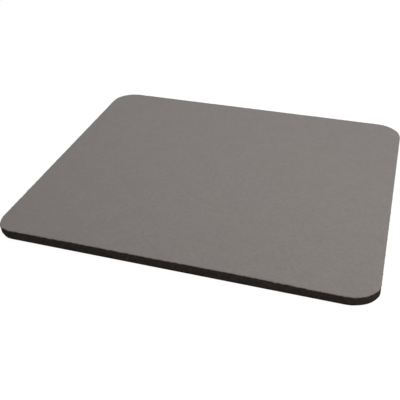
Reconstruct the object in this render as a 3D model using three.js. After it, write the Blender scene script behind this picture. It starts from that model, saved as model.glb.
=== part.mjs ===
// A cloth-faced mouse pad, lying flat as it does on a desk.
//
// The pad is a laminate of three sheets: a knitted face cloth, a thin hot-melt film and a sheet of sponge
// rubber. They are bonded in the roll and cut out together with one die, so all three share an outline.
// The die squeezes the stack before it cuts through. That leaves the rim of every sheet turned down a
// little, and the cut side of the sponge drawn in at half height.
//
// Millimetres. X is the width, +Y is the back edge, +Z is up, and the origin is the middle of the underside.

import * as THREE from 'three';
import { toCreasedNormals } from 'three/addons/utils/BufferGeometryUtils.js';

// Outline of the cut. The steel rule of the die is bent by hand, so no two corners are quite alike.
const PAD_WIDTH = 229;
const PAD_DEPTH = 203;
const BACK_RIGHT_RADIUS = 18;
const BACK_LEFT_RADIUS = 17;
const FRONT_LEFT_RADIUS = 12.5;
const FRONT_RIGHT_RADIUS = 16;

// Thickness of each sheet, from the desk up.
const SPONGE_THICKNESS = 5.8;
const FILM_THICKNESS = 0.1;
const CLOTH_THICKNESS = 0.45;

// Shape that the die leaves at the edge.
const RIM_DROP = 0.15;
const RIM_REACH = 1.2;
const WALL_DISH = 0.1;
const FOOT_ROUNDING = 0.3;
const CLOTH_EDGE_ROUNDING = 0.15;

// Fineness of the curves.
const CORNER_STEPS = 12;
const RIM_STEPS = 5;
const WALL_STEPS = 6;
const ROUNDING_STEPS = 4;
const CREASE_ANGLE = THREE.MathUtils.degToRad(40);

// Heights where one sheet meets the next, in the flat middle of the pad.
const SPONGE_TOP = SPONGE_THICKNESS;
const FILM_TOP = SPONGE_TOP + FILM_THICKNESS;
const CLOTH_TOP = FILM_TOP + CLOTH_THICKNESS;

// Corners of the outline, anticlockwise from above, with the side of the middle that each lies on.
const CORNERS = [
  { sideX: 1, sideY: 1, cornerRadius: BACK_RIGHT_RADIUS },
  { sideX: -1, sideY: 1, cornerRadius: BACK_LEFT_RADIUS },
  { sideX: -1, sideY: -1, cornerRadius: FRONT_LEFT_RADIUS },
  { sideX: 1, sideY: -1, cornerRadius: FRONT_RIGHT_RADIUS },
];

/** Height of a surface at a distance in from the edge, given its height in the flat middle. */
function rimHeight(middleHeight, inset) {
  const share = 1 - inset / RIM_REACH;
  return middleHeight - RIM_DROP * share ** 2;
}

/** Section of a turned-down rim as (inset, height) points, from the flat middle out to an inset. */
function rimSection(middleHeight, outerInset = 0) {
  const section = [];
  for (let step = 0; step <= RIM_STEPS; step++) {
    const inset = THREE.MathUtils.lerp(RIM_REACH, outerInset, step / RIM_STEPS);
    section.push(new THREE.Vector2(inset, rimHeight(middleHeight, inset)));
  }
  return section;
}

/** Section of a quarter round about a centre, turning clockwise from a start angle. */
function quarterRound(centreInset, centreHeight, radius, startAngle) {
  const endAngle = startAngle - Math.PI / 2;
  const arc = new THREE.EllipseCurve(centreInset, centreHeight, radius, radius, startAngle, endAngle, true);
  return arc.getPoints(ROUNDING_STEPS);
}

/** Section of the sponge's cut side between two heights, drawn in most at half height. */
function dishedWall(lowHeight, highHeight) {
  const section = [];
  for (let step = 1; step < WALL_STEPS; step++) {
    const share = step / WALL_STEPS;
    const inset = WALL_DISH * Math.sin(Math.PI * share);
    section.push(new THREE.Vector2(inset, THREE.MathUtils.lerp(lowHeight, highHeight, share)));
  }
  return section;
}

/** Outline of the pad at a distance in from the cut edge, anticlockwise from above. */
function outline(inset) {
  return CORNERS.flatMap(({ sideX, sideY, cornerRadius }, corner) => {
    const centreX = sideX * (PAD_WIDTH / 2 - cornerRadius);
    const centreY = sideY * (PAD_DEPTH / 2 - cornerRadius);
    const radius = cornerRadius - inset;
    const startAngle = corner * Math.PI / 2;
    const endAngle = startAngle + Math.PI / 2;
    const arc = new THREE.EllipseCurve(centreX, centreY, radius, radius, startAngle, endAngle);
    return arc.getPoints(CORNER_STEPS);
  });
}

/** Closed sheet: a section, from the underside round the edge to the top, swept round the outline. */
function sweptSheet(section) {
  const rings = section.map(({ x: inset, y: height }) => (
    outline(inset).map(({ x, y }) => new THREE.Vector3(x, y, height))
  ));
  const around = rings[0].length;
  const triangles = [];
  for (let level = 0; level < rings.length - 1; level++) {
    for (let point = 0; point < around; point++) {
      const here = level * around + point;
      const next = level * around + (point + 1) % around;
      triangles.push(here, next, next + around, here, next + around, here + around);
    }
  }

  const topRing = (rings.length - 1) * around;
  for (const [a, b, c] of THREE.ShapeUtils.triangulateShape(outline(section[0].x), [])) {
    triangles.push(a, c, b);
  }
  for (const [a, b, c] of THREE.ShapeUtils.triangulateShape(outline(section.at(-1).x), [])) {
    triangles.push(topRing + a, topRing + b, topRing + c);
  }

  const geometry = new THREE.BufferGeometry().setFromPoints(rings.flat());
  geometry.setIndex(triangles);
  return toCreasedNormals(geometry, CREASE_ANGLE);
}

/** Sponge rubber sheet: flat underside, rounded foot, drawn-in side, turned-down rim. */
function spongeBase() {
  const edgeHeight = rimHeight(SPONGE_TOP, 0);
  const section = [
    ...quarterRound(FOOT_ROUNDING, FOOT_ROUNDING, FOOT_ROUNDING, -Math.PI / 2),
    ...dishedWall(FOOT_ROUNDING, edgeHeight),
    ...rimSection(SPONGE_TOP).reverse(),
  ];
  const spongeRubber = new THREE.MeshStandardMaterial({ color: 0x332c28, roughness: 0.95, metalness: 0 });
  const mesh = new THREE.Mesh(sweptSheet(section), spongeRubber);
  mesh.name = 'sponge_base';
  return mesh;
}

/** Hot-melt film: an even layer that follows the top of the sponge out to the cut. */
function bondingFilm() {
  const section = [
    ...rimSection(SPONGE_TOP),
    ...rimSection(FILM_TOP).reverse(),
  ];
  const hotMelt = new THREE.MeshStandardMaterial({ color: 0x191615, roughness: 0.65, metalness: 0 });
  const mesh = new THREE.Mesh(sweptSheet(section), hotMelt);
  mesh.name = 'bonding_film';
  return mesh;
}

/** Knitted face cloth: follows the film, with the top of its cut edge rounded over. */
function clothFace() {
  const rounding = CLOTH_EDGE_ROUNDING;
  const roundingTop = rimHeight(CLOTH_TOP, rounding);
  const section = [
    ...rimSection(FILM_TOP),
    ...quarterRound(rounding, roundingTop - rounding, rounding, Math.PI),
    ...rimSection(CLOTH_TOP, rounding).reverse().slice(1),
  ];
  const knitCloth = new THREE.MeshStandardMaterial({ color: 0x837e7a, roughness: 0.95, metalness: 0 });
  const mesh = new THREE.Mesh(sweptSheet(section), knitCloth);
  mesh.name = 'cloth_face';
  return mesh;
}

const mousePad = new THREE.Group();
mousePad.name = 'mouse_pad';
mousePad.add(spongeBase(), bondingFilm(), clothFace());

export default mousePad;
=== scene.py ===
# %% [markdown]
# A cloth-faced mouse pad
#
# The pad is a sandwich of three sheets: knitted cloth on top, a thin film of glue, and thick black
# sponge rubber below. They are glued in the roll and stamped out with one steel die. Everything that
# gives the pad its character happens at that cut: the rim is squeezed down, the cloth draws back and
# the sponge shows its cells.
#
# The frame holds the three plain solids at their real size. Each of them is modelled again here with
# its surface detail, in the same place, and stands for the plain solid in the picture. The pad's size
# could be typed in again, but read from the frame it can't drift away from the solids.

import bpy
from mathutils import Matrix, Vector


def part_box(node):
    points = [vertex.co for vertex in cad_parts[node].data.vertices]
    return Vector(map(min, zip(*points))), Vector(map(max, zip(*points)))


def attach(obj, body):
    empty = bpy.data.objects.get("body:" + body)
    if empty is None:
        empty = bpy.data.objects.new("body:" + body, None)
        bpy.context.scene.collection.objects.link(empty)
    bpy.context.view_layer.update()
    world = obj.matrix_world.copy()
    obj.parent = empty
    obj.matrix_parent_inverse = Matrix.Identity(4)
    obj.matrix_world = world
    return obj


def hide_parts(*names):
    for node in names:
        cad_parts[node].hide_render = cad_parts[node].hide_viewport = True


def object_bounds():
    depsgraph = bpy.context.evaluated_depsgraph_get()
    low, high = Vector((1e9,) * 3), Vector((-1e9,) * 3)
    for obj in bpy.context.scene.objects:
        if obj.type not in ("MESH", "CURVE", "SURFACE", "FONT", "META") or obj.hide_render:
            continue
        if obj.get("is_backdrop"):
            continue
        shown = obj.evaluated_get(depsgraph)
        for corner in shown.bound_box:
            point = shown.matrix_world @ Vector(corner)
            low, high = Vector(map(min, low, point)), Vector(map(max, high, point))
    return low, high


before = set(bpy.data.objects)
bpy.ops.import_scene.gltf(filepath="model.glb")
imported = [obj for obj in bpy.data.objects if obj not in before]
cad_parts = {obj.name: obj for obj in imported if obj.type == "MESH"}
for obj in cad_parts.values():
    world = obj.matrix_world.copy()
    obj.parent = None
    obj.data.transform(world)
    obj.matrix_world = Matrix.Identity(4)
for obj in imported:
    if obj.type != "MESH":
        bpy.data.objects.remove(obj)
cad_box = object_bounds()
print(f"frame holds {sorted(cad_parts)}")

# %% Sizes that the frame gives
import math

import bmesh
import bpy
from mathutils import Quaternion, Vector

MM = 0.001

cloth_low, cloth_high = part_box("cloth_face")
pad_width = cloth_high.x - cloth_low.x
pad_depth = cloth_high.y - cloth_low.y
pad_size = (pad_width, pad_depth)
cloth_top = cloth_high.z
film_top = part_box("bonding_film")[1].z
sponge_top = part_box("sponge_base")[1].z
print(f"pad {pad_width / MM:.1f} x {pad_depth / MM:.1f} x {cloth_top / MM:.2f} mm")

# %% [markdown]
# Camera
#
# The camera comes first, because every later choice is judged through it. Its place, lens and slight
# roll were worked out from the straight edges of the pad: their vanishing points give the lens, and
# the real width gives the distance. A target point and a roll are easier to read than three Euler
# angles, so the turn is built from those.

# %% Camera
CAMERA_PLACE = Vector((0.1031, -0.3733, 0.2415))
CAMERA_TARGET = Vector((-0.0096, -0.0393, 0.0064))
CAMERA_ROLL = math.radians(-1.18)
CAMERA_LENS_MM = 59.65
CAMERA_SHIFT_X = 0.03

bpy.ops.object.camera_add(location=CAMERA_PLACE)
camera = bpy.context.object
aim = (CAMERA_TARGET - CAMERA_PLACE).to_track_quat("-Z", "Y")
camera.rotation_euler = (aim @ Quaternion((0, 0, 1), CAMERA_ROLL)).to_euler()
camera.data.lens = CAMERA_LENS_MM
camera.data.shift_x = CAMERA_SHIFT_X
bpy.context.scene.camera = camera
print(f"camera {(CAMERA_TARGET - CAMERA_PLACE).length:.3f} m from its target")

# %% [markdown]
# The die's outline
#
# All three sheets start from the same blank. A curve could draw it, but a mesh can be shaped further
# in edit mode. So a plane is scaled to the pad's size, and vertex bevels round its corners into arcs.
# The die's steel rule is bent by hand, so every corner has its own radius. The sweep below scales the
# whole outline, so a blank that starts further in has its radii made smaller by the same share.
#
# The long straight sides are then cut into short runs, because the sponge's cells and the frayed
# cloth edge need points to move. One subdivide makes 100 cuts at most, so a side is cut into stretches
# first, and each stretch into runs. The face is taken away for that and filled again afterwards:
# subdividing the sides of a face would cut the face up as well.

# %% Selecting in edit mode
def select_only(piece, kind, test):
    """Selects the verts, edges or faces of a piece in edit mode that pass a test, and counts them."""
    bpy.ops.mesh.select_mode(type=kind)
    bpy.ops.mesh.select_all(action="DESELECT")
    mesh = bmesh.from_edit_mesh(piece.data)
    items = {"VERT": mesh.verts, "EDGE": mesh.edges, "FACE": mesh.faces}[kind]
    found = [item for item in items if test(item)]
    for item in found:
        item.select_set(True)
    mesh.select_flush_mode()
    bmesh.update_edit_mesh(piece.data)
    return len(found)


def longer_along(axis, length):
    """A test for edges that run further than a length along an axis."""
    return lambda edge: abs(edge.verts[0].co[axis] - edge.verts[1].co[axis]) > length


# %% Corners of the die
RADIUS_BY_CORNER = {
    ("back", "right"): 18.0 * MM,
    ("back", "left"): 17.0 * MM,
    ("front", "left"): 12.5 * MM,
    ("front", "right"): 16.0 * MM,
}


def corner_of(point):
    """Names the corner of the pad that a point is nearest to."""
    return ("back" if point.y > 0 else "front", "right" if point.x > 0 else "left")


def is_at(corner):
    """A test for points at one corner of the pad."""
    return lambda vert: corner_of(vert.co) == corner


def inset_of(point):
    """How far in from the cut a point lies, seen from above."""
    radius = RADIUS_BY_CORNER[corner_of(point)]
    past_x = max(abs(point.x) - (pad_width / 2 - radius), 0)
    past_y = max(abs(point.y) - (pad_depth / 2 - radius), 0)
    return radius - math.hypot(past_x, past_y)


# %% Outline blank
STRETCH = 10 * MM


def cut_sides(blank, run):
    """Cuts the straight sides of a blank in edit mode into stretches, and these into runs."""
    for axis, size in enumerate(pad_size):
        select_only(blank, "EDGE", longer_along(axis, size / 2))
        bpy.ops.mesh.subdivide(number_cuts=round(size / STRETCH) - 1)
        select_only(blank, "EDGE", longer_along(axis, STRETCH / 2))
        bpy.ops.mesh.subdivide(number_cuts=round(STRETCH / run) - 1)


def outline_blank(name, inset, height, run):
    """A flat face with the die's outline, drawn in by an inset, cut into runs and left in edit mode."""
    bpy.ops.object.select_all(action="DESELECT")
    bpy.ops.mesh.primitive_plane_add(size=1, location=(0, 0, height))
    blank = bpy.context.object
    blank.name = name
    blank.data.name = name
    blank.scale = (pad_width - 2 * inset, pad_depth - 2 * inset, 1)
    bpy.ops.object.transform_apply(location=True, rotation=True, scale=True)

    bpy.ops.object.mode_set(mode="EDIT")
    smaller = 1 - inset / pad_width - inset / pad_depth
    for corner, radius in RADIUS_BY_CORNER.items():
        select_only(blank, "VERT", is_at(corner))
        corner_runs = round(math.pi / 2 * radius / run)
        bpy.ops.mesh.bevel(offset=smaller * radius, segments=corner_runs, affect="VERTICES")
    bpy.ops.mesh.select_all(action="SELECT")
    bpy.ops.mesh.delete(type="ONLY_FACE")
    cut_sides(blank, run)
    bpy.ops.mesh.select_all(action="SELECT")
    bpy.ops.mesh.edge_face_add()
    print(f"{name}: outline of {len(bmesh.from_edit_mesh(blank.data).verts)} points")
    return blank


# %% [markdown]
# Sweeping the section round the outline
#
# The side of each sheet is a section carried round that outline. A curve with a bevel profile could
# do it, but then the flat faces would have to be joined on. Here the open rim is extruded and scaled,
# step by step, so the sheet stays one connected mesh from its first face to its last.

# %% Sweep and close
def is_open_edge(edge):
    """Edges of the open rim, which have a face on one side only."""
    return edge.is_boundary


def sweep_rim(piece, section):
    """Extrudes the open rim of a piece through (inset, height) points, from the first to the last."""
    select_only(piece, "EDGE", is_open_edge)
    for (inset, height), (next_inset, next_height) in zip(section, section[1:]):
        rise = (0, 0, next_height - height)
        widen = (pad_width - 2 * next_inset) / (pad_width - 2 * inset)
        deepen = (pad_depth - 2 * next_inset) / (pad_depth - 2 * inset)
        bpy.ops.mesh.extrude_edges_move(TRANSFORM_OT_translate={"value": rise})
        bpy.ops.transform.resize(value=(widen, deepen, 1), center_override=(0, 0, 0))
    print(f"{piece.name}: rim swept through {len(section)} points")


def close_sheet(piece):
    """Fills the last open rim, turns all faces outwards and leaves edit mode."""
    select_only(piece, "EDGE", is_open_edge)
    bpy.ops.mesh.edge_face_add()
    bpy.ops.mesh.select_all(action="SELECT")
    bpy.ops.mesh.normals_make_consistent(inside=False)
    bpy.ops.object.mode_set(mode="OBJECT")
    triangles = sum(len(face.vertices) - 2 for face in piece.data.polygons)
    print(f"{piece.name}: {triangles} triangles")


# %% [markdown]
# The turned-down rim
#
# A rule die squeezes the stack before it cuts through, and the rim never quite springs back. All
# three sheets share that fall, so one formula gives it: nothing at the flat middle, and steeper
# towards the cut. A bevel would give each sheet its own round edge, and the layers would no longer lie
# on each other.

# %% Rim profile
RIM_DROP = 0.15 * MM
RIM_REACH = 1.2 * MM
RIM_STEPS = 5


def rim_height(middle_height, inset):
    """Height of a surface at a distance in from the cut, given its height in the flat middle."""
    return middle_height - RIM_DROP * (1 - inset / RIM_REACH) ** 2


def rim_section(middle_height, outer_inset=0.0):
    """(inset, height) points of a surface, from the flat middle out towards the cut."""
    section = []
    for step in range(RIM_STEPS + 1):
        inset = RIM_REACH + (outer_inset - RIM_REACH) * step / RIM_STEPS
        section.append((inset, rim_height(middle_height, inset)))
    return section


print(f"rim turned down by {RIM_DROP / MM:.2f} mm over the last {RIM_REACH / MM:.1f} mm")

# %% [markdown]
# Sponge sheet: the grip on the underside
#
# The underside of such a sheet is pressed against a wire mesh while it cures, which leaves a waffle of
# small square pockets that grip the desk. A bump pattern would be cheaper, but the pockets are deep
# enough to show as shape. Bisecting the blank with evenly spaced planes draws the mesh, as a knife
# would, and one individual inset sinks every whole square. Squares that the die cut through stay flat.

# %% Cutting a face into squares
CUT_TOLERANCE = 0.001 * MM


def cut_squares(piece, pitch):
    """Bisects the piece in edit mode along X and along Y, at one pitch, centred on the pad."""
    for axis, size in enumerate(pad_size):
        count = int(size / pitch)
        normal = Vector((axis == 0, axis == 1, 0))
        for index in range(count):
            place = normal * (index - (count - 1) / 2) * pitch
            bpy.ops.mesh.select_all(action="SELECT")
            bpy.ops.mesh.bisect(plane_co=place, plane_no=normal, threshold=CUT_TOLERANCE)
    print(f"{piece.name}: cut into squares of {pitch / MM:.1f} mm")


# %% Waffle pockets
SPONGE_RUN = 0.40 * MM
FOOT_ROUNDING = 0.3 * MM
WAFFLE_PITCH = 3.0 * MM
WAFFLE_SLOPE = 0.6 * MM
WAFFLE_DEPTH = 0.3 * MM
WAFFLE_MARGIN = 1.0 * MM
NEARLY_WHOLE = 0.99


def is_whole_square(face):
    """Squares of the waffle that the die left whole, clear of the foot."""
    whole = face.calc_area() > NEARLY_WHOLE * WAFFLE_PITCH**2
    return whole and all(inset_of(corner.co) > WAFFLE_MARGIN for corner in face.verts)


sponge = outline_blank("sponge_sheet", FOOT_ROUNDING, 0, SPONGE_RUN)
cut_squares(sponge, WAFFLE_PITCH)
pockets = select_only(sponge, "FACE", is_whole_square)
bpy.ops.mesh.inset(use_individual=True, thickness=WAFFLE_SLOPE, depth=-WAFFLE_DEPTH)
print(f"{pockets} grip pockets")

# %% [markdown]
# Sponge sheet: the cut side
#
# Sponge bulges away from the knife while it is squeezed and springs back hollow, so its side is drawn
# in at half height, and the foot is a little rounded. A straight wall with bevelled edges would be
# quicker, but it would look moulded and not cut. So the section is a quarter round, a shallow sine and
# the shared rim.

# %% Foot, side and rim of the sponge
FOOT_STEPS = 3
WALL_DISH = 0.1 * MM
WALL_STEPS = 18


def foot_section():
    """Quarter round from the underside up to the cut side."""
    angles = [math.pi / 2 * step / FOOT_STEPS for step in range(FOOT_STEPS + 1)]
    return [(FOOT_ROUNDING * (1 - math.sin(a)), FOOT_ROUNDING * (1 - math.cos(a))) for a in angles]


def wall_section(low, high):
    """The cut side between two heights, drawn in most at half height."""
    shares = [step / WALL_STEPS for step in range(1, WALL_STEPS)]
    return [(WALL_DISH * math.sin(math.pi * share), low + (high - low) * share) for share in shares]


rim_inwards = rim_section(sponge_top)[::-1]
sweep_rim(sponge, foot_section() + wall_section(FOOT_ROUNDING, rim_inwards[0][1]) + rim_inwards)
close_sheet(sponge)

# %% [markdown]
# Sponge sheet: open cells
#
# The knife opens the gas cells of the sponge, so the side is full of small pits. Bump alone would leave
# a smooth edge line, so the pits are real. A Displace modifier with a Voronoi texture sinks the side at
# the middle of each cell and leaves the walls between cells where they are. A vertex group keeps the
# pits away from the rim and the foot, where the sheet has to meet the film and the desk. How deep each
# point sank is kept on the mesh, so that the finish can paint shade into the pits later.

# %% Weighing points and displacing them
def clamped(weight):
    """Keeps a weight between 0 and 1."""
    return min(max(weight, 0), 1)


def weigh_points(piece, name, weight_of):
    """Makes a vertex group from a function that gives a point's weight."""
    group = piece.vertex_groups.new(name=name)
    count = 0
    for vertex in piece.data.vertices:
        weight = weight_of(vertex.co)
        if weight > 0:
            group.add([vertex.index], weight, "REPLACE")
            count += 1
    print(f"{piece.name}: {count} points in the group {name}")


def displace(piece, group, texture, strength, still_at, direction="NORMAL"):
    """Moves a group's points by a texture, which leaves them still at one of its values, and applies it."""
    modifier = piece.modifiers.new(texture.name, "DISPLACE")
    modifier.texture = texture
    modifier.texture_coords = "LOCAL"
    modifier.vertex_group = group
    modifier.direction = direction
    modifier.strength = strength
    modifier.mid_level = still_at
    bpy.context.view_layer.objects.active = piece
    bpy.ops.object.modifier_apply(modifier=modifier.name)


# %% Open cells on the cut side
CELL_SIZE = 1.0 * MM
CELL_DEPTH = 0.24 * MM
CELL_FADE = 0.45 * MM
CELL_STILL_AT_WALLS = 0.8
CUT_SIDE_BAND = 3 * WALL_DISH

cells = bpy.data.textures.new("sponge_cells", "VORONOI")
cells.noise_scale = CELL_SIZE


def on_cut_side(point):
    """1 on the open side of the sponge, falling to 0 at the foot and at the rim."""
    from_ends = min(point.z - FOOT_ROUNDING, sponge_top - RIM_DROP - point.z) / CELL_FADE
    return clamped(from_ends) if inset_of(point) < CUT_SIDE_BAND else 0


weigh_points(sponge, "cut_side", on_cut_side)
smooth_side = [vertex.co.copy() for vertex in sponge.data.vertices]
displace(sponge, "cut_side", cells, CELL_DEPTH, still_at=CELL_STILL_AT_WALLS)

cell_depth = sponge.data.attributes.new("cell_depth", "FLOAT", "POINT")
for vertex, before, mark in zip(sponge.data.vertices, smooth_side, cell_depth.data):
    mark.value = max(inset_of(vertex.co) - inset_of(before), 0) / CELL_DEPTH
deepest = max(mark.value for mark in cell_depth.data) * CELL_DEPTH
print(f"cells about {CELL_SIZE / MM:.2f} mm apart, up to {deepest / MM:.2f} mm deep")

# %% [markdown]
# Film of glue
#
# The hot-melt film is one even layer between the other two. It shows only as a dark line at the cut,
# and as a narrow strip wherever the cloth has drawn back. A dark stripe painted on the cloth's edge
# could stand for the line, but not for the strip. So the film is a sheet of its own, swept along the
# shared rim, and needs no more than that.

# %% Film sheet
FILM_RUN = 0.5 * MM

film = outline_blank("hot_melt_layer", RIM_REACH, sponge_top, FILM_RUN)
sweep_rim(film, rim_section(sponge_top) + rim_section(film_top)[::-1])
close_sheet(film)

# %% [markdown]
# Knitted face
#
# The cloth is glued down over its whole area, so it can't drape or fold, and a cloth simulation would
# have nothing to do. It starts from its top face, cut into squares that can rise and fall a little,
# and is swept out over the rim, down the cut edge and back in along the film.

# %% Cloth sheet
CLOTH_RUN = 0.30 * MM
CLOTH_SQUARE = 2.0 * MM
CLOTH_EDGE_ROUNDING = 0.15 * MM
ROUNDING_STEPS = 3


def rounding_section():
    """Quarter round from the top of the cloth over to its cut edge."""
    radius = CLOTH_EDGE_ROUNDING
    top = rim_height(cloth_top, radius)
    angles = [math.pi / 2 * step / ROUNDING_STEPS for step in range(1, ROUNDING_STEPS + 1)]
    return [(radius * (1 - math.sin(a)), top - radius * (1 - math.cos(a))) for a in angles]


cloth = outline_blank("knitted_face", RIM_REACH, cloth_top, CLOTH_RUN)
cut_squares(cloth, CLOTH_SQUARE)
over_the_edge = rim_section(cloth_top, CLOTH_EDGE_ROUNDING) + rounding_section()
sweep_rim(cloth, over_the_edge + rim_section(film_top)[::-1])
close_sheet(cloth)

# %% [markdown]
# Parts of the cloth that move
#
# Later on the cut edge frays and the level face rises and falls a little. A vertex group says which
# points may move, and how much of the way. It can be painted by hand in Weight Paint mode, but here a
# rule is quicker and exact. The groups are made now, while every point still lies where the sweep put
# it, so that its distance from the cut tells where it belongs.

# %% Parts of the cloth that move
ON_THE_CUT = 0.01 * MM


def on_cut_edge(point):
    """1 on the upright cut edge of the cloth and 0 elsewhere."""
    return 1 if inset_of(point) < ON_THE_CUT else 0


def on_flat_face(point):
    """1 on the level top of the cloth, falling to 0 where the rim starts to turn down."""
    from_rim = (inset_of(point) - RIM_REACH) / CLOTH_SQUARE
    return clamped(from_rim) if point.z > (film_top + cloth_top) / 2 else 0


weigh_points(cloth, "cut_edge", on_cut_edge)
weigh_points(cloth, "flat_face", on_flat_face)

# %% [markdown]
# How true the cut is
#
# Cut cloth isn't as true as the sponge below it. Its edge is drawn back by part of a millimetre along
# most of the front, where it shows the film, and stands out a little towards the right-hand end. The
# knife also leans a little at the front corners, so the side of the sponge bulges there and its foot
# is drawn in. Points could be moved one by one, but proportional editing gives way as cloth does: one
# point is pulled, and its neighbours follow less the further away they are.

# %% Pulling an edge
def pull_edge(piece, place, pull, reach):
    """Pulls the point of a piece nearest to a place, and lets the points within reach follow."""
    mesh = bmesh.from_edit_mesh(piece.data)
    nearest = min(mesh.verts, key=lambda vert: (vert.co - place).length)
    select_only(piece, "VERT", lambda vert: vert == nearest)
    bpy.ops.transform.translate(
        value=pull,
        use_proportional_edit=True,
        proportional_edit_falloff="SMOOTH",
        proportional_size=reach,
    )


def pull_edges(piece, *pulls):
    """Makes pulls on a piece, each with a place in metres, a pull in millimetres and a reach in metres."""
    bpy.context.view_layer.objects.active = piece
    bpy.ops.object.mode_set(mode="EDIT")
    for place, pull, reach in pulls:
        pull_edge(piece, Vector(place), Vector(pull) * MM, reach)
    bpy.ops.object.mode_set(mode="OBJECT")
    print(f"{piece.name}: {len(pulls)} pulls")


# %% Cloth, film and sponge at the cut
FRONT = -pad_depth / 2

pull_edges(
    cloth,
    # Along the front: drawn back to both sides of the middle, pushed out towards the right.
    ((0.033, FRONT, film_top), (0, 0.29, 0), 0.045),
    ((-0.055, FRONT, film_top), (0, 0.20, 0), 0.060),
    ((0.090, FRONT, film_top), (0, -0.42, 0), 0.040),
    # The front left corner, then the front right one.
    ((-0.110, -0.098, film_top), (-0.22, -0.22, 0), 0.005),
    ((-0.114, -0.093, film_top), (0.20, 0.08, 0), 0.005),
    ((0.108, -0.098, film_top), (-0.07, 0.09, 0), 0.005),
    ((0.113, -0.092, film_top), (0.27, -0.08, 0), 0.005),
)
pull_edges(
    film,
    # At the front left corner it follows the cloth.
    ((-0.111, -0.098, film_top), (-0.22, -0.22, 0), 0.005),
)
pull_edges(
    sponge,
    # The front left corner: bulging side and drawn-in foot.
    ((-0.112, -0.097, 0.6 * sponge_top), (-0.32, -0.24, 0), 0.0045),
    ((-0.109, -0.099, 0), (0.20, 0.34, 0), 0.005),
    # The front right corner: drawn-in foot and bulging side.
    ((0.105, -0.100, 0), (0, 0.35, 0), 0.008),
    ((0.114, -0.089, 0.3 * sponge_top), (0.36, 0, 0), 0.007),
)

# %% [markdown]
# Small unevenness of the cloth
#
# Three finer marks are too many to pull by hand, so noise makes them. The cut line ripples every two
# millimetres or so, because the knit gives way under the knife. The cut yarns stand out and in at every
# stitch or two. The level face rises and falls by hundredths of a millimetre over the uneven glue,
# which is enough to give the light some play on so plain a surface.

# %% Rippled cut line
RIPPLE_SIZE = 2.2 * MM
RIPPLE_DEPTH = 0.65 * MM
RIPPLE_REACH = 6 * MM
RIPPLE_STILL_AT = 0.38

ripple = bpy.data.textures.new("cut_line_ripple", "CLOUDS")
ripple.noise_scale = RIPPLE_SIZE


def near_side(axis, sign):
    """A weight that is 1 at one side of the pad and falls to 0 further in."""
    half = pad_size[axis] / 2
    return lambda point: max(1 - (half - sign * point[axis]) / RIPPLE_REACH, 0)


for axis, sign, side in ((0, -1, "left"), (0, 1, "right"), (1, -1, "front"), (1, 1, "back")):
    weigh_points(cloth, side, near_side(axis, sign))
    displace(cloth, side, ripple, -sign * RIPPLE_DEPTH, still_at=RIPPLE_STILL_AT, direction="XY"[axis])
print(f"cut line ripples within {RIPPLE_DEPTH / MM:.2f} mm")

# %% Frayed edge and uneven face
FRAY_SIZE = 1.0 * MM
FRAY_DEPTH = 0.7 * MM
FRAY_STILL_AT = 0.5
SWELL_SIZE = 5 * MM
SWELL_DEPTH = 0.05 * MM
SWELL_STILL_AT = 0.6

fray = bpy.data.textures.new("cut_yarns", "CLOUDS")
fray.noise_scale = FRAY_SIZE
swell = bpy.data.textures.new("uneven_glue", "CLOUDS")
swell.noise_scale = SWELL_SIZE

displace(cloth, "cut_edge", fray, FRAY_DEPTH, still_at=FRAY_STILL_AT)
displace(cloth, "flat_face", swell, SWELL_DEPTH, still_at=SWELL_STILL_AT)
print(f"cut yarns end within {FRAY_DEPTH / MM:.2f} mm of each other")
print(f"face is level within {SWELL_DEPTH / MM:.2f} mm")

# %% [markdown]
# Smooth shading
#
# A mesh shows its flat facets until it is told to shade smooth. Subdividing until they vanish would
# cost many more triangles. Smoothing by angle is the middle way: faces that meet at a shallow angle
# shade as one soft surface, such as the pressed pockets and the rounded foot, while the sharp corner
# between the cut side and the rim stays crisp.

# %% Smooth shading
CREASE = math.radians(50)

for piece in (sponge, film, cloth):
    bpy.ops.object.select_all(action="DESELECT")
    piece.select_set(True)
    bpy.context.view_layer.objects.active = piece
    bpy.ops.object.shade_smooth_by_angle(angle=CREASE)
print(f"faces that meet at under {math.degrees(CREASE):.0f} degrees shade as one")

# %% [markdown]
# Writing materials
#
# A material is a graph of small nodes. Wired by hand in the editor it would be a picture. In code, a
# few helpers keep it readable: one adds a node and sets or links its inputs, and the others name the
# steps that come back in every finish here. All pieces stand at the origin, so Object coordinates are
# metres on the pad, and every pattern's size is written as a real size.

# %% Adding nodes
def add_node(tree, kind, inputs, **settings):
    """Adds a shader node. An input is a plain value or another node's output."""
    node = tree.nodes.new("ShaderNode" + kind)
    for name, value in settings.items():
        setattr(node, name, value)
    for name, value in inputs.items():
        if isinstance(value, bpy.types.NodeSocket):
            tree.links.new(value, node.inputs[name])
        else:
            node.inputs[name].default_value = value
    return node


def maths(tree, operation, *values):
    """Adds a Math node and returns its result."""
    return add_node(tree, "Math", dict(enumerate(values)), operation=operation).outputs[0]


# %% Patterns
NOISE_LOW = 0.3
NOISE_HIGH = 0.7


def noise(tree, place, size, detail=2.0):
    """A noise whose features have a real size, with its usual range spread to fill 0 to 1."""
    inputs = {"Vector": place, "Scale": 1 / size, "Detail": detail}
    even = add_node(tree, "TexNoise", inputs).outputs["Fac"]
    spread = {"Value": even, "From Min": NOISE_LOW, "From Max": NOISE_HIGH}
    return add_node(tree, "MapRange", spread).outputs["Result"]


def weighed(tree, *patterns):
    """Adds patterns up, each times its weight."""
    total = 0.0
    for pattern, weight in patterns:
        total = maths(tree, "MULTIPLY_ADD", pattern, weight, total)
    return total


# %% Values, colours and relief from a pattern
# The Mix node has sockets for several kinds of data. These are the places of its colour sockets.
MIX_COLOUR_AT_0 = 6
MIX_COLOUR_AT_1 = 7
MIX_COLOUR_RESULT = 2


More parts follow.
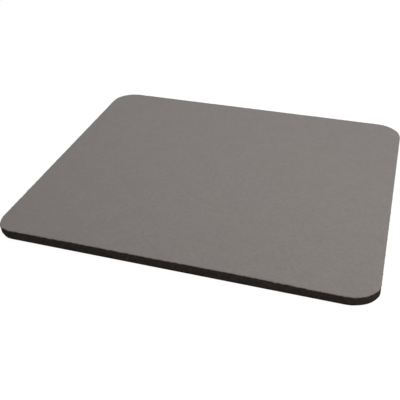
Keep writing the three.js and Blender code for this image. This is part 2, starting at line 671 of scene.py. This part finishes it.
def between(tree, pattern, at_0, at_1):
    """Turns a pattern from 0 to 1 into values between two ends."""
    inputs = {"Value": pattern, "To Min": at_0, "To Max": at_1}
    return add_node(tree, "MapRange", inputs).outputs["Result"]


def blend(tree, pattern, at_0, at_1):
    """Turns a pattern from 0 to 1 into colours between two ends."""
    inputs = {"Factor": pattern, MIX_COLOUR_AT_0: at_0, MIX_COLOUR_AT_1: at_1}
    return add_node(tree, "Mix", inputs, data_type="RGBA").outputs[MIX_COLOUR_RESULT]


def relief(tree, pattern, depth):
    """A bumped normal for a pattern of a real depth."""
    return add_node(tree, "Bump", {"Height": pattern, "Distance": depth}).outputs["Normal"]


# %% Starting and joining a finish
def new_finish(name):
    """A material, its node tree, its shader and its Object coordinates."""
    material = bpy.data.materials.new(name)
    material.use_nodes = True
    tree = material.node_tree
    place = add_node(tree, "TexCoord", {}).outputs["Object"]
    return material, tree, tree.nodes["Principled BSDF"], place


def set_finish(tree, shader, colour, roughness, normal):
    """Links the three things that vary over a surface to its shader."""
    tree.links.new(colour, shader.inputs["Base Color"])
    tree.links.new(roughness, shader.inputs["Roughness"])
    tree.links.new(normal, shader.inputs["Normal"])


# %% [markdown]
# Finish of the cloth
#
# Seen close, the face is a plain jersey knit: columns of V-shaped stitches. A tiled picture of knit
# would repeat, and blur up close, while a formula stays sharp. The distance from a column's middle
# slants the rows up to both sides, which makes the V, and sines across and along it make the yarn
# round. A little noise bends the columns, since knit never runs quite straight. The same stitch height
# also paints the gaps between the stitches darker than their tops, which is painted shade.
#
# A stitch is only about as big as a pixel of the picture, so most of it blurs away there. What carries
# at arm's length is the fuzz of the fibres, the slubs where a yarn is thicker, and a faint, broad
# mottle. Where the cut shows the yarns end-on, they are painted darker: partly the dark glue that they
# have taken up, partly painted shade on the upright cut edge.

# %% Stitches
WALE = 0.80 * MM
COURSE = 0.60 * MM
DRIFT = 0.15 * MM
DRIFT_SIZE = 8 * MM
YARN_GAP = 0.3
WHOLE_WAVE = 2 * math.pi


def stitches(tree, place):
    """Height of the yarn: 0 between the stitches and 1 on top of them."""
    drift = maths(tree, "MULTIPLY_ADD", noise(tree, place, DRIFT_SIZE), DRIFT, -DRIFT / 2)
    axes = add_node(tree, "SeparateXYZ", {0: place}).outputs
    column = maths(tree, "FRACT", maths(tree, "DIVIDE", maths(tree, "ADD", axes["X"], drift), WALE))
    from_middle = maths(tree, "ABSOLUTE", maths(tree, "SUBTRACT", column, 0.5))
    row = maths(tree, "ADD", maths(tree, "DIVIDE", axes["Y"], COURSE), from_middle)
    along = maths(tree, "SINE", maths(tree, "MULTIPLY", row, WHOLE_WAVE))
    across = maths(tree, "SINE", maths(tree, "MULTIPLY", from_middle, WHOLE_WAVE))
    # The sine along the yarn runs from -1 to 1, and its height from 0 to 1.
    round_yarn = maths(tree, "MULTIPLY_ADD", along, 0.5, 0.5)
    return maths(tree, "MULTIPLY", between(tree, across, YARN_GAP, 1.0), round_yarn)


print(f"stitches {WALE / MM:.2f} mm wide and {COURSE / MM:.2f} mm high")

# %% Knit cloth
CLOTH_DARK = (0.1640, 0.1482, 0.1390, 1)
CLOTH_LIGHT = (0.2958, 0.2678, 0.2515, 1)
YARN_ENDS_GLUE_AND_SHADE = (0.150, 0.136, 0.128, 1)
FUZZ_SIZE = 0.35 * MM
SLUB_SIZE = 2.2 * MM
MOTTLE_SIZE = 9 * MM
STITCH_SHADE = 0.48
FUZZ_TONE = 0.24
SLUB_TONE = 0.20
MOTTLE_TONE = 0.08
KNIT_RELIEF = 0.10 * MM
STITCH_RELIEF_SHARE = 0.8
FUZZ_RELIEF_SHARE = 0.2
GAP_ROUGHNESS = 1.0
YARN_ROUGHNESS = 0.85
CLOTH_SHEEN = 0.2
CLOTH_SPECULAR = 0.25


def at_yarn_ends(tree, place):
    """0 on the face of the cloth, rising to 1 where its rounded edge has become the upright cut."""
    height = add_node(tree, "SeparateXYZ", {0: place}).outputs["Z"]
    face = rim_height(cloth_top, 0)
    fall = {"Value": height, "From Min": face, "From Max": face - CLOTH_EDGE_ROUNDING}
    return add_node(tree, "MapRange", fall).outputs["Result"]


def knit_cloth():
    """Warm grey jersey knit with a soft, dry face."""
    material, tree, shader, place = new_finish("knit_cloth")
    stitch = stitches(tree, place)
    fuzz = noise(tree, place, FUZZ_SIZE, detail=3)
    slubs = noise(tree, place, SLUB_SIZE)
    mottle = noise(tree, place, MOTTLE_SIZE)
    # The stitch height paints the gaps between the stitches darker: painted shade. Fuzz, slubs and mottle
    # are the yarn's own tone.
    tones = ((stitch, STITCH_SHADE), (fuzz, FUZZ_TONE), (slubs, SLUB_TONE), (mottle, MOTTLE_TONE))
    yarn = weighed(tree, *tones)
    face = blend(tree, yarn, CLOTH_DARK, CLOTH_LIGHT)
    # The upright cut edge is painted darker: painted shade on the cut, with some dark glue in the yarns.
    colour = blend(tree, at_yarn_ends(tree, place), face, YARN_ENDS_GLUE_AND_SHADE)
    roughness = between(tree, yarn, GAP_ROUGHNESS, YARN_ROUGHNESS)
    bumps = weighed(tree, (stitch, STITCH_RELIEF_SHARE), (fuzz, FUZZ_RELIEF_SHARE))
    set_finish(tree, shader, colour, roughness, relief(tree, bumps, KNIT_RELIEF))
    shader.inputs["Sheen Weight"].default_value = CLOTH_SHEEN
    shader.inputs["Specular IOR Level"].default_value = CLOTH_SPECULAR
    return material


cloth.data.materials.append(knit_cloth())
print(f"{cloth.name}: finish {cloth.data.materials[0].name}")

# %% [markdown]
# Finish of the sponge
#
# The rubber is filled with carbon black, with a brownish cast where light gets through the thin walls
# of its cells. It has two surfaces. The cut side is dull and open. Its pits are painted darker and the
# walls between them a little lighter, which is painted shade in the pits. The underside was pressed
# against the mould, so it has a closed skin that is smoother and slightly shiny. One material could mix
# both by the way a face points, but two are easier to read. So each surface gets its own, and the faces
# are picked in edit mode.

# %% Cut side of the sponge
SPONGE_PIT_SHADE = (0.0040, 0.0030, 0.0026, 1)
SPONGE_WALL = (0.0660, 0.0510, 0.0441, 1)
PORE_SIZE = 0.60 * MM
PORE_WALL = 0.25
PORE_RELIEF = 0.20 * MM
PATCH_SIZE = 1.5 * MM
PORE_SHADE = 0.57
SUNK_SHADE = 0.15
PATCH_TONE = 0.28
WALL_ROUGHNESS = 0.8
PIT_ROUGHNESS = 1.0
SPONGE_SPECULAR = 0.05


def open_cells():
    """Dull black sponge with its cells cut open."""
    material, tree, shader, place = new_finish("open_cells")
    sunk = add_node(tree, "Attribute", {}, attribute_name="cell_depth").outputs["Fac"]
    foam = {"Vector": place, "Scale": 1 / PORE_SIZE}
    from_wall = add_node(tree, "TexVoronoi", foam, feature="DISTANCE_TO_EDGE").outputs["Distance"]
    pores = add_node(tree, "MapRange", {"Value": from_wall, "From Max": PORE_WALL}).outputs["Result"]
    patches = noise(tree, place, PATCH_SIZE)
    # Pores and deeper pits are painted darker than the cell walls: painted shade in the pits. The patches
    # are the rubber's own tone.
    dark = weighed(tree, (pores, PORE_SHADE), (sunk, SUNK_SHADE), (patches, PATCH_TONE))
    colour = blend(tree, dark, SPONGE_WALL, SPONGE_PIT_SHADE)
    roughness = between(tree, pores, WALL_ROUGHNESS, PIT_ROUGHNESS)
    set_finish(tree, shader, colour, roughness, relief(tree, pores, -PORE_RELIEF))
    shader.inputs["Specular IOR Level"].default_value = SPONGE_SPECULAR
    return material


sponge.data.materials.append(open_cells())
print(f"{sponge.name}: pores {PORE_SIZE / MM:.2f} mm apart on the cut side")

# %% Moulded skin of the sponge
SKIN_DARK = (0.0105, 0.0085, 0.0078, 1)
SKIN_LIGHT = (0.0230, 0.0190, 0.0170, 1)
GRAIN_SIZE = 0.4 * MM
BLOOM_SIZE = 12 * MM
GRAIN_TONE = 0.4
BLOOM_TONE = 0.6
SKIN_RELIEF = 0.015 * MM
BARE_ROUGHNESS = 0.5
BLOOM_ROUGHNESS = 0.8
SKIN_SPECULAR = 0.35
FACING_DOWN = -0.5


def moulded_skin():
    """Closed black rubber skin with a fine grain and a faint bloom."""
    material, tree, shader, place = new_finish("moulded_skin")
    grain = noise(tree, place, GRAIN_SIZE, detail=3)
    bloom = noise(tree, place, BLOOM_SIZE, detail=4)
    rubber = weighed(tree, (grain, GRAIN_TONE), (bloom, BLOOM_TONE))
    colour = blend(tree, rubber, SKIN_DARK, SKIN_LIGHT)
    roughness = between(tree, rubber, BARE_ROUGHNESS, BLOOM_ROUGHNESS)
    set_finish(tree, shader, colour, roughness, relief(tree, grain, SKIN_RELIEF))
    shader.inputs["Specular IOR Level"].default_value = SKIN_SPECULAR
    return material


def is_moulded(face):
    """Faces of the underside, inside the rounded foot."""
    return face.normal.z < FACING_DOWN and inset_of(face.calc_center_median()) > FOOT_ROUNDING


sponge.data.materials.append(moulded_skin())
bpy.context.view_layer.objects.active = sponge
bpy.ops.object.mode_set(mode="EDIT")
skin_faces = select_only(sponge, "FACE", is_moulded)
sponge.active_material_index = 1
bpy.ops.object.material_slot_assign()
bpy.ops.object.mode_set(mode="OBJECT")
print(f"{sponge.name}: {skin_faces} faces of the underside have the moulded skin")

# %% [markdown]
# Finish of the film
#
# The glue is a dark thermoplastic that has soaked into both neighbours. Its near-black is partly the
# glue's own colour and partly painted shade of the narrow gap under the cloth's edge. It is glossier
# than they are, and patchy where fibres came away with it. Tone, gloss and relief could each have a
# noise of their own, but on the real film they change at the same spots, so one noise drives all three.

# %% Hot melt
# Near-black: partly the glue's own colour, partly painted shade of the gap under the cloth's edge.
FILM_DARK = (0.0060, 0.0048, 0.0043, 1)
FILM_LIGHT = (0.0160, 0.0130, 0.0115, 1)
FILM_PATCH_SIZE = 1.2 * MM
FILM_RELIEF = 0.015 * MM
BARE_FILM_ROUGHNESS = 0.5
FIBROUS_ROUGHNESS = 0.8
FILM_SPECULAR = 0.1


def hot_melt():
    """Dark glue, satin and patchy."""
    material, tree, shader, place = new_finish("hot_melt")
    patches = noise(tree, place, FILM_PATCH_SIZE, detail=4)
    colour = blend(tree, patches, FILM_DARK, FILM_LIGHT)
    roughness = between(tree, patches, BARE_FILM_ROUGHNESS, FIBROUS_ROUGHNESS)
    set_finish(tree, shader, colour, roughness, relief(tree, patches, FILM_RELIEF))
    shader.inputs["Specular IOR Level"].default_value = FILM_SPECULAR
    return material


film.data.materials.append(hot_melt())
print(f"{film.name}: finish {film.data.materials[0].name}")

# %% [markdown]
# Pieces in the frame
#
# Each sheet stands for one solid of the frame. Nothing on a mouse pad moves against anything else, so all
# three ride on the one body.

# %% Pieces in the frame
for piece, node, slot in (
    (cloth, "cloth_face", "knit_cloth"),
    (film, "bonding_film", "hot_melt_film"),
    (sponge, "sponge_base", "sponge_rubber"),
):
    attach(piece, "root")
    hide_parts(node)
    print(f"{piece.name} stands for {node}")

# %% [markdown]
# Floor
#
# The pad lies on white. A floor lit like the pad would come out grey, and more light would wash out the
# cloth. So what the camera sees of the floor is mostly a plain white, mixed with a share of the floor's
# true shade, which keeps the shadow under the edge. The white is a touch stronger than 1, to make up
# for that share where the lamp's light grows weak. Reflections see the same white.

# %% Floor
FLOOR_SIZE = 6.0
FLOOR_GREY = (0.92, 0.92, 0.92, 1)
WHITE = (1, 1, 1, 1)
FLOOR_WHITE_STRENGTH = 1.05
SHADE_SHARE = 0.10


def seen_directly(tree):
    """1 for what the camera sees, straight or in a reflection or through glass, and 0 for lighting."""
    rays = add_node(tree, "LightPath", {}).outputs
    seen = maths(tree, "MAXIMUM", rays["Is Camera Ray"], rays["Is Glossy Ray"])
    return maths(tree, "MAXIMUM", seen, rays["Is Transmission Ray"])


def white_floor():
    """Matt pale floor that shows white, with a share of its shade."""
    material = bpy.data.materials.new("white_floor")
    material.use_nodes = True
    tree = material.node_tree
    tree.nodes.clear()
    matt = add_node(tree, "BsdfDiffuse", {"Color": FLOOR_GREY}).outputs[0]
    white = add_node(tree, "Emission", {"Color": WHITE, "Strength": FLOOR_WHITE_STRENGTH}).outputs[0]
    white_share = maths(tree, "MULTIPLY", seen_directly(tree), 1 - SHADE_SHARE)
    surface = add_node(tree, "MixShader", {0: white_share, 1: matt, 2: white}).outputs[0]
    add_node(tree, "OutputMaterial", {"Surface": surface})
    return material


bpy.ops.object.select_all(action="DESELECT")
bpy.ops.mesh.primitive_plane_add(size=FLOOR_SIZE)
floor = bpy.context.object
floor.name = "floor"
floor.data.materials.append(white_floor())
floor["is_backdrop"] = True
print(f"floor {FLOOR_SIZE:.0f} m across")

# %% [markdown]
# Light
#
# A lamp straight above would light the cloth all alike. So one soft strip lamp hangs above the
# right-hand side of the pad, turned along the diagonal from the back left to the front right. The cloth
# is brightest at the back right and fades across that diagonal, towards the front left. An even white
# surround fills the shadows. Together they light the middle of the cloth at about strength 1, where a
# colour comes out as it is written.

# %% Surround
SURROUND = 0.30
SURROUND_SEEN = 1.0

world = bpy.data.worlds.new("studio")
bpy.context.scene.world = world
world.use_nodes = True
world.node_tree.nodes.clear()
strength = between(world.node_tree, seen_directly(world.node_tree), SURROUND, SURROUND_SEEN)
sky = add_node(world.node_tree, "Background", {"Color": WHITE, "Strength": strength}).outputs[0]
add_node(world.node_tree, "OutputWorld", {"Surface": sky})
print(f"surround lights at {SURROUND:.2f} and shows at {SURROUND_SEEN:.2f}")

# %% Strip lamp
LAMP_PLACE = Vector((0.156, 0.009, 0.405))
LAMP_LENGTH = 0.9
LAMP_WIDTH = 0.3
LAMP_TURN = math.radians(41)
LAMP_WATTS = 2.07

bpy.ops.object.light_add(type="AREA", location=LAMP_PLACE)
lamp = bpy.context.object
lamp.data.shape = "RECTANGLE"
lamp.data.size = LAMP_LENGTH
lamp.data.size_y = LAMP_WIDTH
lamp.data.energy = LAMP_WATTS
facing_pad = (-LAMP_PLACE).to_track_quat("-Z", "Y")
lamp.rotation_euler = (facing_pad @ Quaternion((0, 0, 1), LAMP_TURN)).to_euler()
bpy.context.scene.view_settings.view_transform = "Standard"
print(f"lamp {LAMP_PLACE.length:.2f} m from the middle of the pad")

# %% [markdown]
# Last look at the size
#
# The dressed pad has to fill the same box as the plain solids, so both boxes are written out side by
# side. Only the frayed and rippled edge of the cloth and the bulges of the sponge may stand out by part
# of a millimetre.

# %% Sizes and finish
dressed_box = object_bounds()
for name, box in (("frame", cad_box), ("dressed", dressed_box)):
    sizes = [(high - low) / MM for low, high in zip(*box)]
    print(f"{name}: " + " x ".join(f"{size:.2f}" for size in sizes) + " mm")
